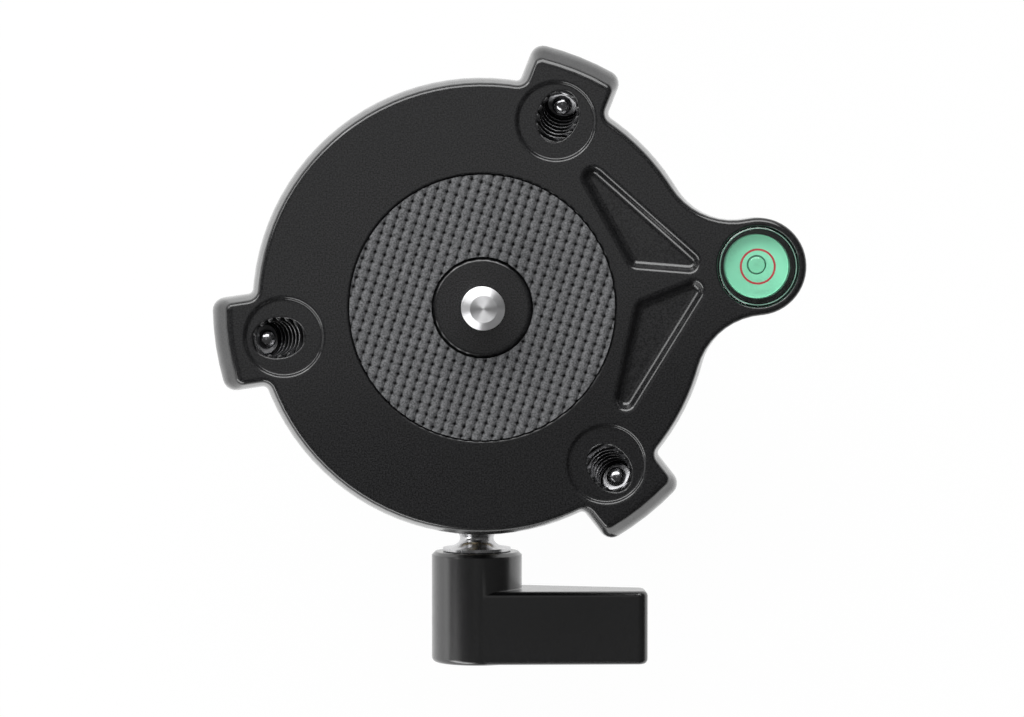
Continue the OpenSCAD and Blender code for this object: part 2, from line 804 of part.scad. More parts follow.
module clamp_shaft() {
  waist_y = flange_y - 2.8;
  waist_start = waist_y - 2.2;
  dip = (stem_d - waist_d) / 2;
  rise = (flange_d - waist_d) / 2;
  color(bright_steel) difference() {
    union() {
      translate([0, 0, lever_z]) rotate([90, 0, 0]) rotate_extrude() polygon([
        [0, shoe_end + run_gap],
        [clamp_r - 0.8, shoe_end + run_gap],
        [clamp_r, shoe_end + run_gap + 0.8],
        [clamp_r, boss_reach + 0.6],
        [stem_d / 2, boss_reach + 1.2],
        [stem_d / 2, waist_start],
        for (t = [0.2:0.2:1]) [stem_d / 2 - dip * (1 - cos(180 * t)) / 2, waist_start + 2.2 * t],
        for (a = [15:15:90])
          [waist_d / 2 + rise * (1 - cos(a)), waist_y + (2.8 - flange_t) * sin(a)],
        [flange_d / 2, flange_y],
        [guide_r, flange_y],
        [guide_r, guide_end - 0.5],
        [guide_r - 0.5, guide_end],
        [0, guide_end]
      ]);
      translate([0, -teeth_start, lever_z]) rotate([90, 0, 0])
        linear_extrude(tooth_l) teeth(tooth_r, tooth_h, 0);
    }
    axle(guide_end - tail_l - 0.5, guide_end + 1, tail_d / 2 + fit_gap);
  }
}

// Outline of the lever's arm, seen along its axis, moved out by d. It starts inside the hub.
function lever_line(d) = let (
  r = hub_r - arm_sink + d,
  corner = arm_corner + d,
  tip = arm_reach - arm_corner,
  top_corner = [tip, hub_r - arm_sink - arm_corner],
  low_corner = [tip, hub_r - arm_tip_h + arm_corner],
  lean = bearing([0, 0], low_corner) - acos((hub_r - arm_sink - arm_corner) / norm(low_corner))
) concat(
  [[0, r], [r * cos(lean), r * sin(lean)]],
  arc(low_corner, corner, lean, 0, 6),
  arc(top_corner, corner, 0, 90, 6)
);

// The arm, from a to b along the lever's axis, with rounded edges.
module lever_arm(a, b) {
  edge = [
    for (q = [0:22.5:90]) [lever_round * (1 - cos(q)), lever_line(lever_round * (sin(q) - 1))]
  ];
  translate([0, 0, lever_z]) rotate([90, 0, 0]) loft(concat(
    [for (step = edge) [a + step[0], step[1]]],
    [for (i = [len(edge) - 1:-1:0]) [b - edge[i][0], edge[i][1]]]
  ));
}

module lever_handle() {
  color(black) difference() {
    union() {
      lever_arm(arm_start, hub_end - arm_inset);
      translate([0, 0, lever_z]) rotate([90, 0, 0]) rotate_extrude() polygon([
        [0, hub_start],
        [hub_r - 0.8, hub_start],
        [hub_r, hub_start + 0.8],
        for (a = [0:15:90])
          [hub_r - lever_round * (1 - cos(a)), hub_end - lever_round * (1 - sin(a))],
        [0, hub_end]
      ]);
    }
    // Toothed mouth and guide bore
    translate([0, -hub_start + 1, lever_z]) rotate([90, 0, 0])
      linear_extrude(teeth_end - hub_start + 1.3) teeth(tooth_r, tooth_h, tooth_gap);
    axle(hub_start - 1, web_start, guide_r + run_gap);
    axle(web_start - 1, web_end + 1, shoulder_d / 2 + run_gap);
    axle(web_end, hub_end + 1, spring_pocket_r);
  }
}

// Height along the axis and angle of the spring's centre line.
function spring_path(t) = let (
  ends = spring_wire / 2 + 0.1,
  a = 360 * spring_turns * t
) [
  spring_r * cos(a),
  spring_r * sin(a),
  web_end + ends + (spring_l - 2 * ends) * t
];

module lever_spring() {
  steps = spring_turns * 20;
  sides = 8;
  points = [
    for (i = [0:steps]) let (c = spring_path(i / steps), a = 360 * spring_turns * i / steps)
      for (k = [0:sides - 1]) let (q = 360 * k / sides, w = spring_wire / 2)
        [c[0] + w * cos(q) * cos(a), c[1] + w * cos(q) * sin(a), c[2] + w * sin(q)]
  ];
  faces = [
    for (i = [0:steps - 1]) for (k = [0:sides - 1]) let (
      a = i * sides + k,
      b = i * sides + (k + 1) % sides
    ) each [[a, b, a + sides], [b, b + sides, a + sides]]
  ];
  start = [[for (k = [sides - 1:-1:0]) k]];
  finish = [[for (k = [0:sides - 1]) steps * sides + k]];
  color(bright_steel) translate([0, 0, lever_z]) rotate([90, 0, 0])
    polyhedron(points = points, faces = concat(start, faces, finish), convexity = 8);
}

module lever_screw() {
  color(dark_steel) difference() {
    union() {
      axle(guide_end - tail_l, guide_end + 0.5, tail_d / 2);
      axle(guide_end + fit_gap, head_start + 0.5, shoulder_d / 2);
      axle(head_start, head_start + screw_head_h, screw_head_d / 2);
    }
    translate([0, -head_start - 1, lever_z]) rotate([90, 0, 0])
      cylinder(h = screw_head_h, r = 2.4, $fn = 6);
  }
}

housing();
base_bush();
clamp_bush();
retaining_collar();
collar_lock_screw();
slip_ring();
friction_bowl();
ball();
platform();
platform_screws();
rubber_pad();
mounting_stud();
set_screw_1();
set_screw_2();
set_screw_3();
set_screw_tip_1();
set_screw_tip_2();
set_screw_tip_3();
level_vial();
level_fluid();
level_plug();
brake_shoe();
clamp_shaft();
lever_handle();
lever_spring();
lever_screw();
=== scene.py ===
"""Looks of the leveling head: dressed pieces, finishes, light and camera, in metres."""

from __future__ import annotations

import logging
import math
from contextlib import contextmanager
from dataclasses import dataclass, field
from enum import Enum
from typing import Callable, Iterator, Sequence

import bmesh
import bpy
from mathutils import Matrix, Vector


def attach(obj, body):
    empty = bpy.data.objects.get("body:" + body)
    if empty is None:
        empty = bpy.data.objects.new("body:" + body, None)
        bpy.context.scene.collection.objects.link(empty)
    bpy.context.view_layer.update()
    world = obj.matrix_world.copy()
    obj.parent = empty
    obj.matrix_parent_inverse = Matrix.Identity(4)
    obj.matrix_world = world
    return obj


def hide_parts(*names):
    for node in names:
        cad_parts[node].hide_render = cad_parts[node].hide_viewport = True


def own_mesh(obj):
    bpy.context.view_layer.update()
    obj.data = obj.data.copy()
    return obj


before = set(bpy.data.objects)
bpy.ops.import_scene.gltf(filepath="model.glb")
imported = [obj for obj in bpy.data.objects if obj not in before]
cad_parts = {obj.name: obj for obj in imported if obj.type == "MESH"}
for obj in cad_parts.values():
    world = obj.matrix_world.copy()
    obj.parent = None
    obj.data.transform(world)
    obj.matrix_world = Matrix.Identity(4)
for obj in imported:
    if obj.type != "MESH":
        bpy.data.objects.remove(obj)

LOG = logging.getLogger("leveling_head")

Colour = tuple[float, float, float]
Point = tuple[float, float]
Place = tuple[float, float, float]
Piece = bpy.types.Object
Material = bpy.types.Material
Socket = bpy.types.NodeSocket

# Shared sizes

MM = 0.001
UP = Vector((0, 0, 1))
PLATFORM_TURN = 8.4
PLATFORM_TOP = 63.0 * MM
LUG_ANGLES = (60.0, 180.0, 300.0)
COARSE_PITCH = 1.5875 * MM
GROOVE_DEPTH = 0.55
GROOVE_RISE = 0.07
GROOVE_WIDTHS = (0.1, 0.47)

# Tolerances

CAD_MERGE = 2e-6
SEAM_MERGE = 1e-6
MERGE = 1e-7
FLAT_ANGLE = 0.05
SHARP_ANGLE = 25.0
EDGE_ANGLE = 30.0
SAME_HEIGHT = 0.005 * MM
SHADER_SAMPLES = 8
CLOUD_LAYERS = 3.0
SPECKLE_LAYERS = 4.0
ANYWHERE = -1.0


class Body(Enum):
    """The bodies that pieces ride on."""

    BASE = "base"
    PLATFORM = "platform"
    SHAFT = "clamp_shaft"
    LEVER = "lever"
    SCREW = "set_screw_{}"
    NOSE = "set_screw_tip_{}"


class Slot(Enum):
    """The record's material slots, which are passed with the pieces but not applied."""

    PAINT = "black_paint"
    ANODISED = "anodised_aluminium"
    STEEL = "bright_steel"
    CHROME = "chrome"
    BRASS = "brass"
    DARK_STEEL = "dark_steel"
    SPRING = "spring_steel"
    RUBBER = "rubber"
    CLEAR = "clear_plastic"
    FLUID = "green_fluid"
    WHITE = "white_plastic"


class Select(Enum):
    """What edit mode selects."""

    VERTICES = "VERT"
    EDGES = "EDGE"
    FACES = "FACE"


class Keep(Enum):
    """What a cut keeps of a piece."""

    OUTSIDE = "DIFFERENCE"
    INSIDE = "INTERSECT"


# Modelling steps


def deselect() -> None:
    """Leaves edit mode and deselects every object."""
    if bpy.context.object and bpy.context.object.mode != "OBJECT":
        bpy.ops.object.mode_set(mode="OBJECT")
    bpy.ops.object.select_all(action="DESELECT")


def work_on(piece: Piece) -> None:
    """Makes one piece the only selected and active object.

    Args:
        piece: the piece.
    """
    deselect()
    piece.select_set(True)
    bpy.context.view_layer.objects.active = piece


@contextmanager
def editing(piece: Piece, kind: Select = Select.FACES) -> Iterator[None]:
    """Opens a piece in edit mode with everything selected, until the context ends.

    Args:
        piece: the piece to edit.
        kind: what is selected.
    """
    work_on(piece)
    bpy.ops.object.mode_set(mode="EDIT")
    bpy.ops.mesh.select_mode(type=kind.value)
    bpy.ops.mesh.select_all(action="SELECT")
    yield
    bpy.ops.object.mode_set(mode="OBJECT")


def pick(piece: Piece, kind: Select, test: Callable[..., bool]) -> None:
    """Selects, in edit mode, what passes a test.

    Args:
        piece: the piece in edit mode.
        kind: vertices, edges or faces.
        test: takes one of them.
    """
    sheet = bmesh.from_edit_mesh(piece.data)
    bpy.ops.mesh.select_all(action="DESELECT")
    for element in getattr(sheet, kind.value.lower() + "s"):
        element.select_set(test(element))
    bmesh.update_edit_mesh(piece.data)


def sharp_at(edge: bmesh.types.BMEdge, height: float) -> bool:
    """Tells whether an edge is sharp and lies at one height."""
    level = all(abs(vertex.co.z - height) < SAME_HEIGHT for vertex in edge.verts)
    return level and edge.is_manifold and edge.calc_face_angle() > math.radians(SHARP_ANGLE)


def lowest(edge: bmesh.types.BMEdge) -> float:
    """Returns the lowest height of an edge's faces."""
    return min(vertex.co.z for face in edge.link_faces for vertex in face.verts)


def apply_modifier(piece: Piece, kind: str, **settings: object) -> None:
    """Adds a modifier with its settings and applies it.

    Args:
        piece: the piece to change.
        kind: Blender's name of the modifier.
        settings: the modifier's values.
    """
    work_on(piece)
    modifier = piece.modifiers.new(kind.lower(), kind)
    for key, value in settings.items():
        setattr(modifier, key, value)
    bpy.ops.object.modifier_apply(modifier=modifier.name)


def duplicate(source: Piece, name: str) -> Piece:
    """Copies an object with its own mesh.

    Args:
        source: the object to copy.
        name: the copy's name.

    Returns:
        The copy, without a parent.
    """
    piece = source.copy()
    piece.data = source.data.copy()
    piece.name = piece.data.name = name
    piece.parent = None
    bpy.context.scene.collection.objects.link(piece)
    return piece


def copy_of(node: str, name: str) -> Piece:
    """Copies a CAD node into a new piece with merged vertices and whole flat faces.

    Args:
        node: the CAD node's name.
        name: the new piece's name.

    Returns:
        The new piece, at the origin.
    """
    piece = duplicate(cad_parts[node], name)
    piece.matrix_world = Matrix.Identity(4)
    piece.data.materials.clear()
    with editing(piece, Select.VERTICES):
        bpy.ops.mesh.remove_doubles(threshold=CAD_MERGE)
        bpy.ops.mesh.customdata_custom_splitnormals_clear()
        bpy.ops.mesh.dissolve_limited(angle_limit=math.radians(FLAT_ANGLE))
    return piece


def round_section(distance: float, radius: float, count: int) -> list[Point]:
    """Returns the corners of a round section, by its centre's distance from the axis."""
    angles = [math.tau * number / count for number in range(count)]
    return [(distance + radius * math.cos(a), radius * math.sin(a)) for a in angles]


def sweep(name: str, points: Sequence[Point], steps: int, **screw: object) -> Piece:
    """Sweeps a closed outline around the Z axis and closes it.

    Args:
        name: the piece's name.
        points: distance from the axis and height of each corner.
        steps: the number of steps in a turn.
        screw: other settings of the Screw modifier.

    Returns:
        The swept piece.
    """
    deselect()
    bpy.ops.mesh.primitive_circle_add(vertices=len(points), radius=1.0)
    piece = bpy.context.object
    piece.name = piece.data.name = name
    for vertex, (distance, height) in zip(piece.data.vertices, points):
        vertex.co = (distance, 0.0, height)
    apply_modifier(piece, "SCREW", steps=steps, render_steps=steps, **screw)
    with editing(piece, Select.VERTICES):
        bpy.ops.mesh.remove_doubles(threshold=MERGE)
        bpy.ops.mesh.delete_loose(use_verts=True, use_edges=True, use_faces=False)
        bpy.ops.mesh.select_all(action="SELECT")
        bpy.ops.mesh.fill_holes(sides=0)
        bpy.ops.mesh.select_all(action="SELECT")
        bpy.ops.mesh.normals_make_consistent(inside=False)
    return piece


def lathe(name: str, points: Sequence[Point], steps: int = 72) -> Piece:
    """Returns a closed outline, turned around the Z axis."""
    return sweep(name, points, steps, use_merge_vertices=True, merge_threshold=SEAM_MERGE)


def band(name: str, radii: Point, heights: Point, steps: int = 72) -> Piece:
    """Returns a turned ring with a rectangular section."""
    (inner, outer), (low, high) = radii, heights
    return lathe(name, [(inner, low), (outer, low), (outer, high), (inner, high)], steps)


def coil(name: str, points: Sequence[Point], pitch: float, turns: int, steps: int = 36) -> Piece:
    """Returns a closed outline, wound up around the Z axis."""
    return sweep(name, points, steps, screw_offset=pitch, iterations=turns)


def cut(piece: Piece, tool: Piece, keep: Keep = Keep.OUTSIDE) -> None:
    """Cuts a piece with a tool piece, which is then removed.

    Args:
        piece: the piece to cut.
        tool: a closed piece.
        keep: what is kept of the piece.
    """
    apply_modifier(piece, "BOOLEAN", object=tool, operation=keep.value, solver="EXACT")
    mesh = tool.data
    bpy.data.objects.remove(tool)
    bpy.data.meshes.remove(mesh)


def trim(piece: Piece, place: Vector, direction: Vector) -> None:
    """Cuts off and closes what lies beyond a plane.

    Args:
        piece: a closed piece.
        place: a point of the plane.
        direction: the plane's normal, toward what is cut off.
    """
    with editing(piece):
        bpy.ops.mesh.bisect(
            plane_co=place, plane_no=direction, use_fill=True, clear_outer=True, threshold=MERGE
        )


def smooth(piece: Piece, angle: float = 35.0) -> None:
    """Shades a piece smooth, with flat faces kept flat.

    Args:
        piece: the piece.
        angle: edges that turn by more than this stay sharp, in degrees.
    """
    work_on(piece)
    bpy.ops.object.shade_smooth_by_angle(angle=math.radians(angle))
    apply_modifier(piece, "WEIGHTED_NORMAL", keep_sharp=True, weight=80, mode="FACE_AREA")


def dress(piece: Piece, finish: Material) -> None:
    """Gives a piece one finish."""
    piece.data.materials.clear()
    piece.data.materials.append(finish)


def hand_over(piece: Piece, body: str, slot: Slot, finish: Material, *nodes: str) -> None:
    """Dresses a finished piece and sets it on its body.

    Args:
        piece: the piece.
        body: the body that it rides on.
        slot: its material slot; not used.
        finish: its material.
        nodes: the CAD nodes that it stands for.
    """
    dress(piece, finish)
    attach(piece, body)
    if nodes:
        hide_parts(*nodes)
    LOG.info("%s on %s: %d faces", piece.name, body, len(piece.data.polygons))


def show(
    node: str, name: str, body: Body, slot: Slot, finish: Material,
    edge: float = 0.0, steps: int = 2,
) -> None:
    """Shows a dressed copy in place of a CAD node.

    Args:
        node: the node's name.
        name: the copy's name.
        body: the body that it rides on.
        slot: its material slot.
        finish: its material.
        edge: the width of its rounded edges, if any.
        steps: steps of the rounding.
    """
    piece = copy_of(node, name)
    if edge:
        apply_modifier(
            piece, "BEVEL", width=edge, segments=steps, limit_method="ANGLE",
            angle_limit=math.radians(EDGE_ANGLE), use_clamp_overlap=False, miter_outer="MITER_ARC",
        )
    smooth(piece)
    hand_over(piece, body.value, slot, finish, node)


def keep_solid(node: str, finish: Material) -> None:
    """Dresses a CAD node that is shown as it is."""
    dress(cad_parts[node], finish)
    LOG.info("%s keeps its solid", node)


@dataclass(frozen=True)
class Thread:
    """A thread's section: distances from the axis and half widths in shares of the pitch."""

    pitch: float
    corners: tuple[Point, ...]

    @classmethod
    def groove(cls, pitch: float, crest: float) -> Thread:
        """Returns the space between a screw thread's flanks."""
        low, high = crest - GROOVE_DEPTH * pitch, crest + GROOVE_RISE * pitch
        root, mouth = GROOVE_WIDTHS
        return cls(pitch, ((low, -root), (low, root), (high, mouth), (high, -mouth)))

    @classmethod
    def ridge(cls, pitch: float, radii: Point, widths: Point) -> Thread:
        """Returns a tapped thread's ridge, from its wall to its crest."""
        (wall, crest), (foot, tip) = radii, widths
        return cls(pitch, ((wall, -foot), (crest, -tip), (crest, tip), (wall, foot)))

    def wind(self, name: str, turns: int) -> Piece:
        """Returns the wound section, from the height of its first turn's middle."""
        section = [(distance, share * self.pitch) for distance, share in self.corners]
        return coil(name, section, self.pitch, turns)


# Finishes


class Nodes:
    """A shader node tree that is built step by step."""

    def __init__(self, tree: bpy.types.NodeTree) -> None:
        """Takes the tree."""
        self.tree = tree

    def fill(self, socket: Socket, value: object) -> None:
        """Gives a socket a number, a colour or what another socket says.

        Args:
            socket: the socket.
            value: the number, colour or other socket.
        """
        if isinstance(value, Socket):
            self.tree.links.new(value, socket)
        else:
            socket.default_value = (*value, 1.0) if isinstance(value, tuple) else value

    def put(self, node: bpy.types.Node, **values: object) -> None:
        """Fills a node's sockets by their names, written with underscores."""
        for key, value in values.items():
            self.fill(node.inputs[key.replace("_", " ")], value)

    def add(self, kind: str, *first: object, **values: object) -> bpy.types.Node:
        """Adds a node.

        Args:
            kind: Blender's name of the node, after ShaderNode.
            first: what fills its first sockets.
            values: its own settings, in lower case, and what fills its other sockets.

        Returns:
            The node.
        """
        node = self.tree.nodes.new("ShaderNode" + kind)
        for key in filter(str.islower, list(values)):
            setattr(node, key, values.pop(key))
        for socket, value in zip(node.inputs, first):
            self.fill(socket, value)
        self.put(node, **values)
        return node

    def combine(self, operation: str, *values: Socket | float, **settings: bool) -> Socket:
        """Returns the result of a calculation with two values."""
        return self.add("Math", *values, operation=operation, **settings).outputs["Value"]

    def blend(self, share: Socket, first: Socket, second: Socket) -> Socket:
        """Returns a mix of two shaders, by the second one's share."""
        return self.add("MixShader", share, first, second).outputs["Shader"]

    def seen(self) -> Socket:
        """Returns a switch that is on for camera, glossy and transmission rays."""
        path = self.add("LightPath").outputs
        direct = self.combine("MAXIMUM", path["Is Camera Ray"], path["Is Glossy Ray"])
        return self.combine("MAXIMUM", direct, path["Is Transmission Ray"])


class Sheet(Nodes):
    """A material's nodes, on Object coordinates."""

    def __init__(self, name: str) -> None:
        """Starts a material with one shader."""
        self.material = bpy.data.materials.new(name)
        self.material.use_nodes = True
        super().__init__(self.material.node_tree)
        self.shader = self.tree.nodes["Principled BSDF"]
        self.place = self.add("TexCoord").outputs["Object"]

    def noise(self, scale: float, layers: float = 2.0) -> Socket:
        """Returns a noise pattern, by its bumps per metre and its finer layers."""
        return self.add("TexNoise", self.place, Scale=scale, Detail=layers).outputs["Fac"]

    def spread(self, value: Socket, low: float, high: float, part: Point = (0.3, 0.7)) -> Socket:
        """Returns a pattern, with a part of its range mapped to low and high."""
        return self.add("MapRange", value, *part, low, high, clamp=True).outputs["Result"]

    def tint(self, value: Socket, dark: Colour | Socket, light: Colour | Socket) -> Socket:
        """Mixes two colours by a pattern.

        Args:
            value: the pattern.
            dark: the colour at 0, or its pattern.
            light: the colour at 1, or its pattern.

        Returns:
            The colour pattern.
        """
        mix = self.add("Mix", value, data_type="RGBA")
        sockets = [socket for socket in mix.inputs if socket.type == "RGBA"]
        for socket, colour in zip(sockets, (dark, light)):
            self.fill(socket, colour)
        return mix.outputs[2]

    def bump(self, height: Socket, depth: float, share: float, **under: Socket) -> Socket:
        """Returns a normal that a pattern bumps, with its depth in metres."""
        bump = self.add("Bump", Height=height, Distance=depth, Strength=share, **under)
        return bump.outputs["Normal"]

    def finish(self, colour: Socket, roughness: Socket, normal: Socket) -> Material:
        """Returns the material, with the patterns joined to its shader."""
        self.put(self.shader, Base_Color=colour, Roughness=roughness, Normal=normal)
        return self.material


@dataclass(frozen=True)
class Finish:
    """A finish, which makes its material."""

    name: str

    def make(self) -> Material:
        """Returns the finish's material."""
        raise NotImplementedError


@dataclass(frozen=True)
class SatinPaint(Finish):
    """Stove-enamelled casting: clear gloss, orange peel, fine speckle and paler rubbed edges."""

    dark: Colour = (0.0005, 0.0005, 0.0008)
    light: Colour = (0.018, 0.018, 0.019)
    rubbed: Colour = (0.05, 0.05, 0.052)
    rough: Point = (0.3, 0.4)
    specular: float = 0.2
    mottle: float = 3000.0
    mottle_part: Point = (0.35, 0.65)
    gloss_cloud: float = 420.0
    peel: float = 2600.0
    peel_depth: float = 0.000008
    peel_share: float = 0.5
    edge: float = 0.0005
    edge_part: Point = (0.86, 0.99)
    wear: float = 0.8
    wear_cloud: float = 900.0
    wear_part: Point = (0.4, 0.65)
    coat_rough: float = 0.13
    coat_ior: float = 1.5

    def make(self) -> Material:
        """Returns the finish's material."""
        sheet = Sheet(self.name)
        mottle = sheet.spread(sheet.noise(self.mottle, SPECKLE_LAYERS), 0.0, 1.0, self.mottle_part)
        corner = sheet.add("Bevel", Radius=self.edge, samples=SHADER_SAMPLES)
        rounded, faced = corner.outputs["Normal"], sheet.add("NewGeometry").outputs["Normal"]
        turn = sheet.add("VectorMath", rounded, faced, operation="DOT_PRODUCT")
        edges = sheet.spread(turn.outputs["Value"], 1.0, 0.0, self.edge_part)
        patches = sheet.noise(self.wear_cloud, CLOUD_LAYERS)
        patches = sheet.spread(patches, 0.0, self.wear, self.wear_part)
        worn = sheet.combine("MULTIPLY", edges, patches)
        colour = sheet.tint(worn, sheet.tint(mottle, self.dark, self.light), self.rubbed)
        rough = sheet.spread(sheet.noise(self.gloss_cloud, CLOUD_LAYERS), *self.rough)
        peel = sheet.noise(self.peel)
        normal = sheet.bump(peel, self.peel_depth, self.peel_share, Normal=rounded)
        sheet.put(
            sheet.shader, Specular_IOR_Level=self.specular, Coat_Weight=1.0,
            Coat_Roughness=self.coat_rough, Coat_IOR=self.coat_ior, Coat_Normal=rounded,
        )
        return sheet.finish(colour, rough, normal)


@dataclass(frozen=True)
class PlainFinish(Finish):
    """A finish with cloudy colour, uneven gloss, a fine grain and, where asked, painted shade that
    darkens its hollows.
    """

    dark: Colour
    light: Colour
    rough: Point
    metal: float = 0.0
    cloud: float = 300.0
    grain: float = 3000.0
    grain_depth: float = 0.00001
    grain_share: float = 0.5
    # Emission of the light colour: painted light, as the part is no lamp
    glow: float = 0.0
    # AO distance within which hollows are darkened as painted shade; zero leaves none
    painted_shade: float = 0.0
    painted_shade_colour: Colour = (0.004, 0.004, 0.0042)
    painted_shade_part: Point = (0.35, 0.95)

    def make(self) -> Material:
        """Returns the finish's material."""
        sheet = Sheet(self.name)
        glow = {"Emission_Color": self.light, "Emission_Strength": self.glow}
        sheet.put(sheet.shader, Metallic=self.metal, **glow)
        cloud = sheet.spread(sheet.noise(self.cloud, CLOUD_LAYERS), 0.0, 1.0)
        colour = sheet.tint(cloud, self.dark, self.light)
        # Painted shade: where the AO node finds hollows and creases, the colour is darkened toward
        # near-black
        if self.painted_shade:
            hollow = sheet.add("AmbientOcclusion", Distance=self.painted_shade, samples=SHADER_SAMPLES)
            unshaded = sheet.spread(hollow.outputs["AO"], 0.0, 1.0, self.painted_shade_part)
            colour = sheet.tint(unshaded, self.painted_shade_colour, colour)
        rough = sheet.spread(sheet.noise(self.cloud * 2.0, CLOUD_LAYERS), *self.rough)
        normal = sheet.bump(sheet.noise(self.grain), self.grain_depth, self.grain_share)
        return sheet.finish(colour, rough, normal)


@dataclass(frozen=True)
class BareMetal(PlainFinish):
    """A plain finish of bare metal."""

    metal: float = 1.0
    grain: float = 1500.0
    grain_depth: float = 0.000003


@dataclass(frozen=True)
class TurnedSteel(Finish):
    """Lathe-turned steel with rings around the Z axis."""

    dark: Colour = (0.74, 0.74, 0.75)
    light: Colour = (0.94, 0.94, 0.95)
    rough: Point = (0.38, 0.5)
    gloss_cloud: float = 700.0
    brushed: float = 0.8
    brushed_turn: float = 0.25
    ring: float = 0.00022
    ring_waves: float = math.tau / 20.0
    ring_depth: float = 0.000012
    ring_share: float = 0.6
    waver: float = 0.6

    def make(self) -> Material:
        """Returns the finish's material."""
        sheet = Sheet(self.name)
        around = sheet.add("Tangent", direction_type="RADIAL", axis="Z")
        sheet.put(
            sheet.shader, Metallic=1.0, Anisotropic=self.brushed,
            Anisotropic_Rotation=self.brushed_turn, Tangent=around.outputs["Tangent"],
        )
        rings = sheet.add(
            "TexWave", sheet.place, wave_type="RINGS", rings_direction="Z",
            Scale=self.ring_waves / self.ring, Distortion=self.waver, Detail=2.0,
        )
        colour = sheet.tint(rings.outputs["Fac"], self.dark, self.light)
        rough = sheet.spread(sheet.noise(self.gloss_cloud, CLOUD_LAYERS), *self.rough)
        normal = sheet.bump(rings.outputs["Fac"], self.ring_depth, self.ring_share)
        return sheet.finish(colour, rough, normal)


@dataclass(frozen=True)
class ClearBody(Finish):
    """A clear body that tints what is seen through it, with faint flow marks in its gloss."""

    tint: Colour
    ior: float = 1.49
    rough: Point = (0.03, 0.08)
    gloss_cloud: float = 500.0
    flow: float = 260.0
    flow_depth: float = 0.000004
    flow_share: float = 0.4

    def make(self) -> Material:
        """Returns the finish's material."""
        sheet = Sheet(self.name)
        sheet.tree.nodes.remove(sheet.shader)
        rough = sheet.spread(sheet.noise(self.gloss_cloud), *self.rough)
        normal = sheet.bump(sheet.noise(self.flow), self.flow_depth, self.flow_share)
        clear = sheet.add("BsdfTransparent", Color=self.tint)
        gloss = sheet.add("BsdfGlossy", Roughness=rough, Normal=normal)
        share = sheet.add("Fresnel", IOR=self.ior, Normal=normal)
        inner = sheet.add("NewGeometry").outputs["Backfacing"]
        outer = sheet.combine("SUBTRACT", share.outputs["Fac"], inner, use_clamp=True)
        body = sheet.blend(outer, clear.outputs["BSDF"], gloss.outputs["BSDF"])
        sheet.put(sheet.tree.nodes["Material Output"], Surface=body)
        return sheet.material


def ready(finish: Finish) -> Material:
    """Returns a field that makes a finish's material."""
    return field(default_factory=finish.make)


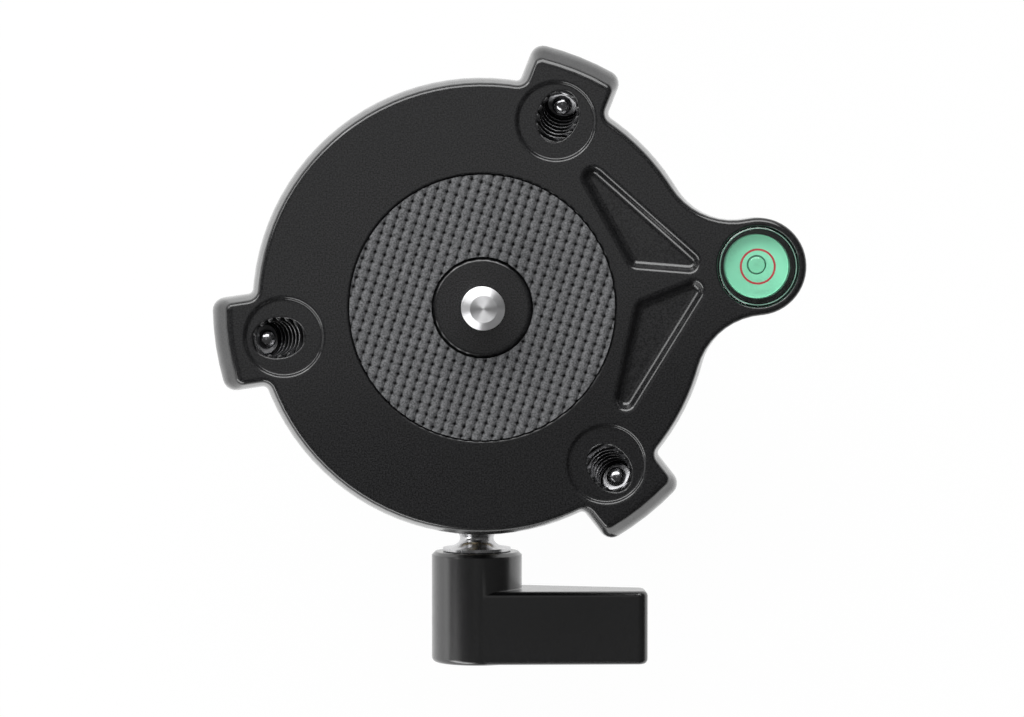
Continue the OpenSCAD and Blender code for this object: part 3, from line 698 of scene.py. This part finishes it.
@dataclass
class Finishes:
    """All finishes of the head, made once."""

    paint: Material = ready(SatinPaint("satin_black_paint"))
    lever_paint: Material = ready(SatinPaint(
        "lever_black_paint", dark=(0.0003, 0.0003, 0.0005), light=(0.008, 0.008, 0.0088),
        peel=1900.0, peel_depth=0.000005, coat_ior=1.85, coat_rough=0.26))
    # Painted shade darkens the pad's pits and grooves
    rubber: Material = ready(PlainFinish(
        "grey_rubber", (0.03, 0.031, 0.033), (0.16, 0.162, 0.168), (0.6, 0.8),
        cloud=2600.0, grain=3600.0, grain_depth=0.00045, painted_shade=0.0009))
    turned: Material = ready(TurnedSteel("turned_steel"))
    chrome: Material = ready(BareMetal(
        "chrome_plate", (0.5, 0.5, 0.51), (0.7, 0.7, 0.71), (0.2, 0.34), grain_depth=0.000006))
    polished: Material = ready(BareMetal(
        "polished_steel", (0.6, 0.6, 0.62), (0.76, 0.76, 0.78), (0.26, 0.38), grain=2500.0))
    nose_steel: Material = ready(BareMetal(
        "hardened_steel", (0.26, 0.26, 0.27), (0.38, 0.38, 0.39), (0.16, 0.26), grain=2500.0))
    dark_steel: Material = ready(BareMetal(
        "blackened_steel", (0.05, 0.05, 0.053), (0.1, 0.1, 0.104), (0.3, 0.46),
        grain=4000.0, grain_depth=0.000006))
    # Painted shade darkens the screw's thread grooves
    screw_steel: Material = ready(BareMetal(
        "plain_steel", (0.36, 0.36, 0.37), (0.46, 0.46, 0.47), (0.3, 0.4), painted_shade=0.001))
    anodised: Material = ready(BareMetal(
        "anodised_aluminium", (0.07, 0.07, 0.074), (0.095, 0.095, 0.1), (0.26, 0.36),
        grain=5000.0, grain_depth=0.000005))
    brass: Material = ready(BareMetal(
        "machined_brass", (0.3, 0.23, 0.12), (0.4, 0.31, 0.17), (0.22, 0.36),
        grain=3500.0, grain_depth=0.000006))
    acetal: Material = ready(PlainFinish(
        "white_acetal", (0.66, 0.65, 0.6), (0.74, 0.73, 0.68), (0.34, 0.46)))
    spring: Material = ready(BareMetal(
        "spring_wire", (0.3, 0.3, 0.31), (0.42, 0.42, 0.43), (0.22, 0.36),
        grain=2600.0, grain_depth=0.000006))
    clear: Material = ready(ClearBody("clear_vial", (0.95, 0.98, 0.965)))
    # Painted light: the liquid glows with its own emission to stay bright deep in the level,
    # though it is no lamp
    liquid: Material = ready(PlainFinish(
        "green_liquid", (0.3, 0.84, 0.57), (0.36, 0.9, 0.63), (0.12, 0.2),
        cloud=120.0, grain=500.0, grain_depth=0.000006, glow=0.18))
    bubble: Material = ready(ClearBody("air_bubble", (0.98, 1.0, 0.99), 1.6, (0.02, 0.05)))
    # Painted shade: a dark green ring stands in for the line where the bubble turns the light away
    bubble_shade_line: Material = ready(PlainFinish(
        "painted_bubble_outline", (0.02, 0.11, 0.06), (0.03, 0.15, 0.085), (0.2, 0.3)))
    # Painted highlight: a pale green band standing in for the liquid's light carried by the clear
    # rim
    painted_rim_highlight: Material = ready(PlainFinish(
        "painted_rim_highlight", (0.1, 0.19, 0.15), (0.3, 0.48, 0.4), (0.2, 0.3), cloud=160.0))
    tapped: Material = ready(BareMetal(
        "tapped_alloy", (0.66, 0.66, 0.67), (0.8, 0.8, 0.81), (0.3, 0.42)))
    # Painted shade: near-black metal for the bore threads' flanks, a shaded copy of the bare crest
    # alloy, with AO-darkened hollows too
    shaded_flank: Material = ready(BareMetal(
        "painted_shade_flank", (0.03, 0.03, 0.032), (0.07, 0.07, 0.073), (0.36, 0.46), painted_shade=0.001))
    red: Material = ready(PlainFinish(
        "red_print", (0.42, 0.03, 0.04), (0.5, 0.045, 0.055), (0.35, 0.5)))
    white: Material = ready(PlainFinish(
        "white_plug", (0.72, 0.78, 0.74), (0.8, 0.85, 0.81), (0.3, 0.42)))


# Sub-assemblies


@dataclass
class Base:
    """Housing, bushes, collar and the ball joint's inner pieces."""

    edge: float = 0.25 * MM
    socket_radius: float = 4.8 * MM
    socket_thread: float = 0.62 * MM
    socket_depth: float = 9.2 * MM
    socket_turns: int = 9
    socket_start: float = -2.0
    thread_sink: float = 0.08 * MM
    thread_widths: Point = (0.42, 0.1)
    thread_gap: float = 0.4 * MM

    def build(self, finishes: Finishes) -> None:
        """Builds and dresses the base's pieces.

        Args:
            finishes: the finishes.
        """
        body, paint = Body.BASE, finishes.paint
        show("housing", "housing_casting", body, Slot.PAINT, paint, self.edge)
        show("retaining_collar", "screwed_collar", body, Slot.PAINT, paint, self.edge)
        show("base_bush", "socket_bush", body, Slot.STEEL, finishes.polished)
        show("clamp_bush", "brass_nut", body, Slot.BRASS, finishes.brass)
        show("collar_lock_screw", "grub_screw", body, Slot.DARK_STEEL, finishes.dark_steel)
        hand_over(self.socket_ridge(), body.value, Slot.STEEL, finishes.polished)
        show("ball", "ball_and_neck", Body.PLATFORM, Slot.ANODISED, finishes.anodised)
        keep_solid("slip_ring", finishes.acetal)
        keep_solid("friction_bowl", finishes.acetal)
        keep_solid("brake_shoe", finishes.brass)
        keep_solid("platform_screws", finishes.dark_steel)

    def socket_ridge(self) -> Piece:
        """Builds the socket's thread.

        Returns:
            The thread's ridge in the bush.
        """
        radius = self.socket_radius
        radii = (radius + self.thread_sink, radius - self.socket_thread)
        thread = Thread.ridge(COARSE_PITCH, radii, self.thread_widths)
        ridge = thread.wind("socket_thread", self.socket_turns)
        ridge.data.transform(Matrix.Translation((0, 0, self.socket_start * COARSE_PITCH)))
        trim(ridge, Vector((0, 0, self.thread_gap)), -UP)
        trim(ridge, Vector((0, 0, self.socket_depth - self.thread_gap)), UP)
        smooth(ridge)
        return ridge


@dataclass
class Platform:
    """The cast platform with its pad and stud."""

    rim: float = 0.32 * MM
    pocket_depth: float = 1.8 * MM
    pocket_rim: float = 0.6 * MM
    pocket_fillet: float = 0.85 * MM
    floor_gap: float = 0.02 * MM
    spot_depth: float = 0.65 * MM
    spot_distance: float = 44.5 * MM
    spot_wall: Point = (7.5 * MM, 9.2 * MM)
    spot_fillet: float = 0.2 * MM
    fillet_steps: int = 4
    pad_foot: float = 61.62 * MM
    pad_top: float = 63.4 * MM
    pad_radius: float = 29.5 * MM
    pad_bore: float = 11.3 * MM
    pad_steps: int = 130
    pad_spare: float = 1.0 * MM
    pad_draw: float = 3.0 * MM
    pad_flat: float = 1.0
    pad_smooth: float = 50.0
    cell: float = 2.2 * MM
    cell_turn: float = -18.1
    cell_steps: int = 6
    cell_drops: tuple[Place, ...] = (
        (0.1, ANYWHERE, 0.048 * MM), (0.3, ANYWHERE, 0.112 * MM), (0.45, ANYWHERE, 0.24 * MM),
        (ANYWHERE, 0.3, 0.04 * MM), (ANYWHERE, 0.45, 0.06 * MM),
        (0.45, 0.3, 0.155 * MM), (0.3, 0.45, 0.248 * MM), (0.45, 0.45, 0.217 * MM),
    )
    spare_cells: int = 2
    stud_radius: float = 4.7625 * MM
    stud_thread_end: float = 69.6 * MM
    stud_turns: int = 7
    stud_smooth: float = 25.0

    def build(self, finishes: Finishes) -> None:
        """Builds and dresses the platform's pieces.

        Args:
            finishes: the finishes.
        """
        body = Body.PLATFORM.value
        casting = copy_of("platform", "platform_casting")
        self.round_edges(casting)
        smooth(casting)
        hand_over(casting, body, Slot.PAINT, finishes.paint, "platform")
        hand_over(self.pad(), body, Slot.RUBBER, finishes.rubber, "rubber_pad")
        hand_over(self.stud(), body, Slot.STEEL, finishes.turned, "mounting_stud")

    def spots(self) -> list[Vector]:
        """Returns the centres of the spot-faces."""
        angles = [math.radians(PLATFORM_TURN + lug) for lug in LUG_ANGLES]
        return [Vector((math.cos(a), math.sin(a))) * self.spot_distance for a in angles]

    def on_spot_wall(self, edge: bmesh.types.BMEdge) -> bool:
        """Tells whether an edge lies at the foot of a spot-face's wall."""
        middle, (near, far) = (edge.verts[0].co + edge.verts[1].co).xy / 2, self.spot_wall
        return any(near < (middle - spot).length < far for spot in self.spots())

    def round_edges(self, casting: Piece) -> None:
        """Rounds the rims and the feet of the walls of the sunk pockets and spot-faces.

        Args:
            casting: the platform's casting.
        """
        floor = PLATFORM_TOP - self.pocket_depth
        spot = PLATFORM_TOP - self.spot_depth
        for height, width, test in (
            (PLATFORM_TOP, self.pocket_rim, lambda e: abs(lowest(e) - floor) < self.floor_gap),
            (PLATFORM_TOP, self.rim, lambda e: True),
            (floor, self.pocket_fillet, lambda e: True),
            (spot, self.spot_fillet, self.on_spot_wall),
        ):
            with editing(casting, Select.EDGES):
                pick(casting, Select.EDGES, lambda e: sharp_at(e, height) and test(e))
                bpy.ops.mesh.bevel(
                    offset=width, segments=self.fillet_steps, affect="EDGES", clamp_overlap=False
                )

    def pad_cell(self) -> Piece:
        """Builds one cell of the pad.

        Returns:
            A sheet with a cushion between two grooves and pits at its corners.
        """
        deselect()
        bpy.ops.mesh.primitive_grid_add(
            x_subdivisions=self.cell_steps, y_subdivisions=self.cell_steps, size=self.cell
        )
        piece = bpy.context.object
        piece.name = piece.data.name = "grip_pad"
        with editing(piece, Select.VERTICES):
            for aside, along, drop in self.cell_drops:
                x, y = aside * self.cell, along * self.cell
                pick(piece, Select.VERTICES, lambda v: abs(v.co.x) > x and abs(v.co.y) > y)
                bpy.ops.transform.translate(value=(0, 0, -drop))
        return piece

    def off_ring(self, face: bmesh.types.BMFace) -> bool:
        """Tells whether a face of the pad's pattern lies well off its ring."""
        low, high = self.pad_bore - 0.5 * self.cell, self.pad_radius + 0.5 * self.cell
        return not low < face.calc_center_median().xy.length < high

    def pad(self) -> Piece:
        """Builds the embossed grip pad.

        Returns:
            The pad, cut to its ring.
        """
        piece = self.pad_cell()
        count = 2 * math.ceil(self.pad_radius / self.cell + self.spare_cells)
        for step in ((self.cell, 0, 0), (0, self.cell, 0)):
            apply_modifier(
                piece, "ARRAY", count=count, use_relative_offset=False, use_constant_offset=True,
                constant_offset_displace=step, use_merge_vertices=True, merge_threshold=SEAM_MERGE,
            )
        shift = -self.cell * (count - 1) / 2
        piece.data.transform(Matrix.Translation((shift, shift, 0)))
        piece.data.transform(Matrix.Rotation(math.radians(self.cell_turn), 4, "Z"))
        piece.data.transform(Matrix.Translation((0, 0, self.pad_top)))
        low, high = self.pad_foot - self.pad_spare, self.pad_top + self.pad_spare
        with editing(piece):
            pick(piece, Select.FACES, self.off_ring)
            bpy.ops.mesh.delete(type="FACE")
            bpy.ops.mesh.select_all(action="SELECT")
            down = {"value": (0, 0, -self.pad_draw)}
            bpy.ops.mesh.extrude_region_move(TRANSFORM_OT_translate=down)
            bpy.ops.transform.resize(value=(1, 1, 0), center_override=(0, 0, low))
            bpy.ops.mesh.dissolve_limited(angle_limit=math.radians(self.pad_flat))
            bpy.ops.mesh.select_all(action="SELECT")
            bpy.ops.mesh.normals_make_consistent(inside=False)
        radii = (self.pad_bore, self.pad_radius)
        cut(piece, band("pad_ring", radii, (self.pad_foot, high), self.pad_steps), Keep.INSIDE)
        smooth(piece, self.pad_smooth)
        return piece

    def stud(self) -> Piece:
        """Builds the stud.

        Returns:
            The stud, with its thread cut below the turned end.
        """
        piece = copy_of("mounting_stud", "threaded_stud")
        thread = Thread.groove(COARSE_PITCH, self.stud_radius)
        groove = thread.wind("stud_groove", self.stud_turns)
        start = self.stud_thread_end - COARSE_PITCH * self.stud_turns
        groove.data.transform(Matrix.Translation((0, 0, start)))
        cut(piece, groove)
        smooth(piece, self.stud_smooth)
        return piece


@dataclass
class SetScrews:
    """The three inclined set screws with their noses, and the threads that they run in."""

    radius: float = 45.6 * MM
    face: float = 62.35 * MM
    lean: float = 40.0
    pitch: float = 1.25 * MM
    crest: float = 4.47 * MM
    screw_turns: int = 11
    screw_start: float = 2.0
    screw_smooth: float = 30.0
    nose_smooth: float = 40.0
    ridge_radii: Point = (4.62 * MM, 3.86 * MM)
    ridge_widths: Point = (0.36, 0.12)
    ridge_turns: int = 17
    ridge_start: float = -4.0
    bore_length: float = 14.5 * MM
    face_gap: float = 0.01 * MM
    end_gap: float = 0.3 * MM
    crest_gap: float = 0.04 * MM
    flush: float = 0.99

    def place(self, number: int) -> Matrix:
        """Finds the frame of one screw.

        Args:
            number: the screw's number, from 0.

        Returns:
            The frame, whose z axis runs down the bore.
        """
        around = Matrix.Rotation(math.radians(PLATFORM_TURN + LUG_ANGLES[number]), 4, "Z")
        out = Matrix.Translation((self.radius, 0, self.face))
        return around @ out @ Matrix.Rotation(math.radians(180 - self.lean), 4, "Y")

    def build(self, finishes: Finishes) -> None:
        """Builds the first lug's pieces and copies them to the others.

        Args:
            finishes: the finishes.
        """
        first = self.place(0)
        screw = self.screw(first)
        nose = copy_of("set_screw_tip_1", "polished_nose_1")
        smooth(nose, self.nose_smooth)
        ridge = self.ridge(first)
        for index in range(len(LUG_ANGLES)):
            number, place = index + 1, self.place(index)
            for piece, label, body, slot, finish in (
                (screw, "threaded_screw", Body.SCREW, Slot.DARK_STEEL, finishes.screw_steel),
                (nose, "polished_nose", Body.NOSE, Slot.STEEL, finishes.nose_steel),
                (ridge, "bore_thread", Body.PLATFORM, Slot.PAINT, finishes.shaded_flank),
            ):
                if index:
                    piece = duplicate(piece, f"{label}_{number}")
                    piece.data.transform(place @ first.inverted())
                carrier = body.value.format(number)
                if body is Body.PLATFORM:
                    hand_over(piece, carrier, slot, finish)
                    self.dress_thread(piece, place, finishes)
                else:
                    hand_over(piece, carrier, slot, finish, carrier)

    def screw(self, place: Matrix) -> Piece:
        """Builds the first set screw.

        Args:
            place: the screw's frame.

        Returns:
            The screw, with its thread.
        """
        piece = copy_of("set_screw_1", "threaded_screw_1")
        groove = Thread.groove(self.pitch, self.crest).wind("screw_groove", self.screw_turns)
        start = Matrix.Translation((0, 0, self.screw_start * self.pitch))
        groove.data.transform(place @ start)
        cut(piece, groove)
        smooth(piece, self.screw_smooth)
        return piece

    def ridge(self, place: Matrix) -> Piece:
        """Builds the thread ridge in a lug's bore.

        Args:
            place: the frame of its screw.

        Returns:
            The ridge, cut at the spot-face and at the bore's end.
        """
        thread = Thread.ridge(self.pitch, self.ridge_radii, self.ridge_widths)
        ridge = thread.wind("bore_thread_1", self.ridge_turns)
        start = Matrix.Translation((0, 0, self.ridge_start * self.pitch))
        ridge.data.transform(place @ start)
        trim(ridge, Vector((0, 0, self.face - self.face_gap)), UP)
        down = place.to_3x3() @ UP
        trim(ridge, place.translation + down * (self.bore_length - self.end_gap), down)
        smooth(ridge)
        return ridge

    def dress_thread(self, ridge: Piece, place: Matrix, finishes: Finishes) -> None:
        """Gives a thread's flanks near-black metal as painted shade, its crest bright bare alloy
        and its cut at the spot-face the black paint.

        Args:
            ridge: the thread's ridge.
            place: the frame of its screw.
            finishes: the finishes.
        """
        ridge.data.materials.append(finishes.paint)
        ridge.data.materials.append(finishes.tapped)
        inward = place.inverted()
        # Faces keep the near-black flank metal as painted shade, unless they are the flush cut
        # (paint) or the crest (bare alloy)
        for face in ridge.data.polygons:
            distance = (inward @ face.center).xy.length
            if face.normal.z > self.flush:
                face.material_index = 1
            elif distance < self.ridge_radii[1] + self.crest_gap:
                face.material_index = 2


@dataclass
class RoundLevel:
    """The round level: clear body, green liquid with a painted glow, bubble with a painted shade
    outline, printed ring and a painted highlight band on the body's rim.
    """

    distance: float = 62.1 * MM
    ceiling: float = 61.8 * MM
    body_edge: float = 0.35 * MM
    body_edge_steps: int = 4
    floor: float = 56.65 * MM
    surface: float = 59.4 * MM
    liquid_radius: float = 7.15 * MM
    liquid_edge: float = 0.12 * MM
    # Radii and heights of the painted highlight band on the clear body's rim
    rim_radii: Point = (8.43 * MM, 8.65 * MM)
    rim_heights: Point = (62.7 * MM, 62.8 * MM)
    ring_radii: Point = (3.56 * MM, 4.02 * MM)
    ring_heights: Point = (61.82 * MM, 61.86 * MM)
    bubble_radius: float = 2.0 * MM
    # thickness of the bubble's dark outline ring, which is painted shade
    bubble_shade_line: float = 0.36 * MM
    line_corners: int = 8
    bubble_height: float = 0.7 * MM
    bubble_sink: float = 0.05 * MM
    bubble_shift: Point = (-0.25 * MM, 0.4 * MM)
    bubble_step: int = 10
    bubble_smooth: float = 60.0

    def place(self) -> Matrix:
        """Returns the move from the Z axis to the level's axis."""
        around = Matrix.Rotation(math.radians(PLATFORM_TURN), 4, "Z")
        return Matrix.Translation(around @ Vector((self.distance, 0, 0)))

    def build(self, finishes: Finishes) -> None:
        """Builds and dresses the level's pieces.

        Args:
            finishes: the finishes.
        """
        body, edge, steps = Body.PLATFORM, self.body_edge, self.body_edge_steps
        show("level_vial", "clear_body", body, Slot.CLEAR, finishes.clear, edge, steps)
        liquid = self.liquid()
        ring = band("printed_ring", self.ring_radii, self.ring_heights)
        # The rim band is a painted highlight, opaque pale green where the clear rim carries the
        # liquid's light
        rim = band("painted_rim_highlight", self.rim_radii, self.rim_heights)
        for piece, slot, finish, *nodes in (
            (liquid, Slot.FLUID, finishes.liquid, "level_fluid"),
            (ring, Slot.WHITE, finishes.red),
            (rim, Slot.CLEAR, finishes.painted_rim_highlight),
        ):
            piece.data.transform(self.place())
            smooth(piece)
            hand_over(piece, body.value, slot, finish, *nodes)
        # The bubble, and its dark outline ring of painted shade
        for piece, finish in (
            (self.bubble(), finishes.bubble), (self.painted_bubble_outline(), finishes.bubble_shade_line)
        ):
            piece.data.transform(self.place() @ Matrix.Translation((*self.bubble_shift, 0)))
            smooth(piece, self.bubble_smooth)
            hand_over(piece, body.value, Slot.FLUID, finish)
        keep_solid("level_plug", finishes.white)

    def liquid(self) -> Piece:
        """Returns the liquid on the Z axis, with a raised edge where it wets the wall."""
        wide, edge, high = self.liquid_radius, self.liquid_edge, self.surface
        return lathe("green_liquid", [
            (0.0, self.floor), (wide, self.floor), (wide, high), (wide - edge, high + edge),
            (wide - 2 * edge, high), (0.0, high),
        ])

    def bubble(self) -> Piece:
        """Builds the air bubble on the Z axis.

        Returns:
            The bubble's flat dome.
        """
        top = self.ceiling - self.bubble_sink
        points = [(0.0, top - self.bubble_height)]
        for angle in map(math.radians, range(0, 90, self.bubble_step)):
            drop = self.bubble_height * (1 - math.sin(angle))
            points.append((self.bubble_radius * math.cos(angle), top - drop))
        return lathe("air_bubble", [*points, (0.0, top)])

    def painted_bubble_outline(self) -> Piece:
        """Builds the bubble's outline on the Z axis, a dark ring of painted shade.

        Returns:
            The dark ring, painted where the bubble turns the light away.
        """
        section = round_section(self.bubble_radius, self.bubble_shade_line / 2, self.line_corners)
        edge = lathe("painted_bubble_outline", section)
        middle = self.ceiling - self.bubble_sink - self.bubble_height / 2
        edge.data.transform(Matrix.Translation((0, 0, middle)))
        return edge


@dataclass
class Lever:
    """The locking lever: chromed stem, handle, shoulder screw and return spring."""

    axis_height: float = 18.0 * MM
    spring_start: float = 69.5 * MM
    spring_end: float = 78.5 * MM
    spring_gap: float = 0.1 * MM
    spring_radius: float = 4.6 * MM
    spring_steps: int = 40
    spring_smooth: float = 60.0
    wire: float = 1.0 * MM
    wire_corners: int = 10
    turns: int = 4
    pull: float = 4.0 * MM
    edge: float = 0.2 * MM

    def build(self, finishes: Finishes) -> None:
        """Builds and dresses the lever's pieces.

        Args:
            finishes: the finishes.
        """
        shaft, steel = Body.SHAFT, finishes.dark_steel
        show("clamp_shaft", "chrome_stem", shaft, Slot.CHROME, finishes.chrome)
        show("lever_screw", "shoulder_screw", shaft, Slot.DARK_STEEL, steel, self.edge)
        show("lever_handle", "lever_casting", Body.LEVER, Slot.PAINT, finishes.lever_paint)
        spring = self.spring()
        hand_over(spring, shaft.value, Slot.SPRING, finishes.spring, "lever_spring")
        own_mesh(spring)

    def spring(self) -> Piece:
        """Builds the return spring.

        Returns:
            The spring, wound along the lever's axis.
        """
        radius = self.wire / 2
        ends = radius + self.spring_gap
        pitch = (self.spring_end - self.spring_start - 2 * ends) / self.turns
        section = round_section(self.spring_radius, radius, self.wire_corners)
        spring = coil("return_spring", section, pitch, self.turns, self.spring_steps)
        along = Matrix.Rotation(math.radians(90), 4, "X")
        lift = Matrix.Translation((0, -self.spring_start - ends, self.axis_height))
        spring.data.transform(lift @ along)
        smooth(spring, self.spring_smooth)
        return spring


# Studio


@dataclass(frozen=True)
class Softbox:
    """A soft lamp that faces the object, with its power in watts."""

    name: str
    place: Place
    size: Point
    power: float
    aim: Place = (0.0, 0.0, 0.05)

    def build(self) -> None:
        """Adds the lamp, which the camera doesn't see."""
        light = bpy.data.lights.new(self.name, "AREA")
        light.shape = "RECTANGLE"
        light.size, light.size_y = self.size
        light.energy = self.power
        lamp = bpy.data.objects.new(self.name, light)
        bpy.context.scene.collection.objects.link(lamp)
        lamp.location = self.place
        toward = Vector(self.aim) - Vector(self.place)
        lamp.rotation_euler = toward.to_track_quat("-Z", "Y").to_euler()
        lamp.visible_camera = False


@dataclass
class Studio:
    """Floor, soft lights, surroundings and camera."""

    eye: Place = (-0.027, 0.030, 1.006)
    aim: Place = (0.0066, -0.0113, 0.063)
    lens: float = 149.4
    sensor: float = 36.0
    clip: Point = (0.01, 50.0)
    floor_half: float = 6.0
    floor_colour: Colour = (0.9, 0.9, 0.9)
    floor_glow: float = 0.98
    ambient: Colour = (0.15, 0.15, 0.15)
    room: tuple[tuple[float, Colour], ...] = ((0.1, (0.06,) * 3), (0.9, (0.1,) * 3))
    lamps: tuple[Softbox, ...] = (
        Softbox("north_softbox", (-0.08, 0.85, 0.72), (1.3, 0.65), 15.0),
        Softbox("south_west_softbox", (-0.63, -0.76, 0.5), (1.2, 0.45), 8.0),
        Softbox("west_softbox", (-0.95, -0.1, 0.13), (0.7, 0.24), 0.7),
        Softbox("north_west_softbox", (-0.72, 0.55, 0.55), (0.6, 0.4), 3.0),
        Softbox("overhead_softbox", (-0.03, 0.14, 1.5), (0.45, 0.45), 0.22),
    )

    def build(self) -> None:
        """Sets up the view, the floor, the surroundings, the lamps and the camera."""
        bpy.context.scene.view_settings.view_transform = "Standard"
        self.floor()
        self.surroundings()
        for lamp in self.lamps:
            lamp.build()
        self.camera()

    def floor(self) -> None:
        """Makes the white floor, which keeps the object's shadow."""
        deselect()
        bpy.ops.mesh.primitive_plane_add(size=2 * self.floor_half, location=(0, 0, 0))
        floor = bpy.context.object
        floor.name = floor.data.name = "studio_floor"
        material = bpy.data.materials.new("white_floor")
        material.use_nodes = True
        material.node_tree.nodes.clear()
        nodes = Nodes(material.node_tree)
        matte = nodes.add("BsdfDiffuse", Color=self.floor_colour).outputs["BSDF"]
        glow = nodes.add("Emission").outputs["Emission"]
        share = nodes.combine("MULTIPLY", nodes.seen(), self.floor_glow)
        nodes.add("OutputMaterial", Surface=nodes.blend(share, matte, glow))
        floor.data.materials.append(material)

    def surroundings(self) -> None:
        """Makes the world: plain light, and a dim room where it is seen."""
        world = bpy.data.worlds.new("studio")
        bpy.context.scene.world = world
        world.use_nodes = True
        world.node_tree.nodes.clear()
        nodes = Nodes(world.node_tree)
        split = nodes.add("SeparateXYZ", nodes.add("TexCoord").outputs["Generated"])
        ramp = nodes.add("ValToRGB", split.outputs["Z"])
        for stop, (position, colour) in zip(ramp.color_ramp.elements, self.room):
            stop.position, stop.color = position, (*colour, 1.0)
        plain = nodes.add("Background", Color=self.ambient).outputs["Background"]
        sight = nodes.add("Background", ramp.outputs["Color"]).outputs["Background"]
        nodes.add("OutputWorld", Surface=nodes.blend(nodes.seen(), plain, sight))

    def camera(self) -> None:
        """Adds the camera at the photograph's viewing angle, with +Y up in the picture."""
        eye = Vector(self.eye)
        ahead = (Vector(self.aim) - eye).normalized()
        right = ahead.cross(Vector((0, 1, 0))).normalized()
        up = right.cross(ahead)
        data = bpy.data.cameras.new("camera")
        data.lens = self.lens
        data.sensor_width = self.sensor
        data.sensor_fit = "HORIZONTAL"
        data.clip_start, data.clip_end = self.clip
        camera = bpy.data.objects.new("camera", data)
        bpy.context.scene.collection.objects.link(camera)
        turn = Matrix((right, up, -ahead)).transposed().to_4x4()
        camera.matrix_world = Matrix.Translation(eye) @ turn
        bpy.context.scene.camera = camera


def main() -> None:
    """Builds the head piece by piece."""
    logging.basicConfig(level=logging.INFO, format="%(name)s: %(message)s")
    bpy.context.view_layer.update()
    Studio().build()
    finishes = Finishes()
    for assembly in (Base(), Platform(), SetScrews(), RoundLevel(), Lever()):
        assembly.build(finishes)
    deselect()


if __name__ == "__main__":
    main()
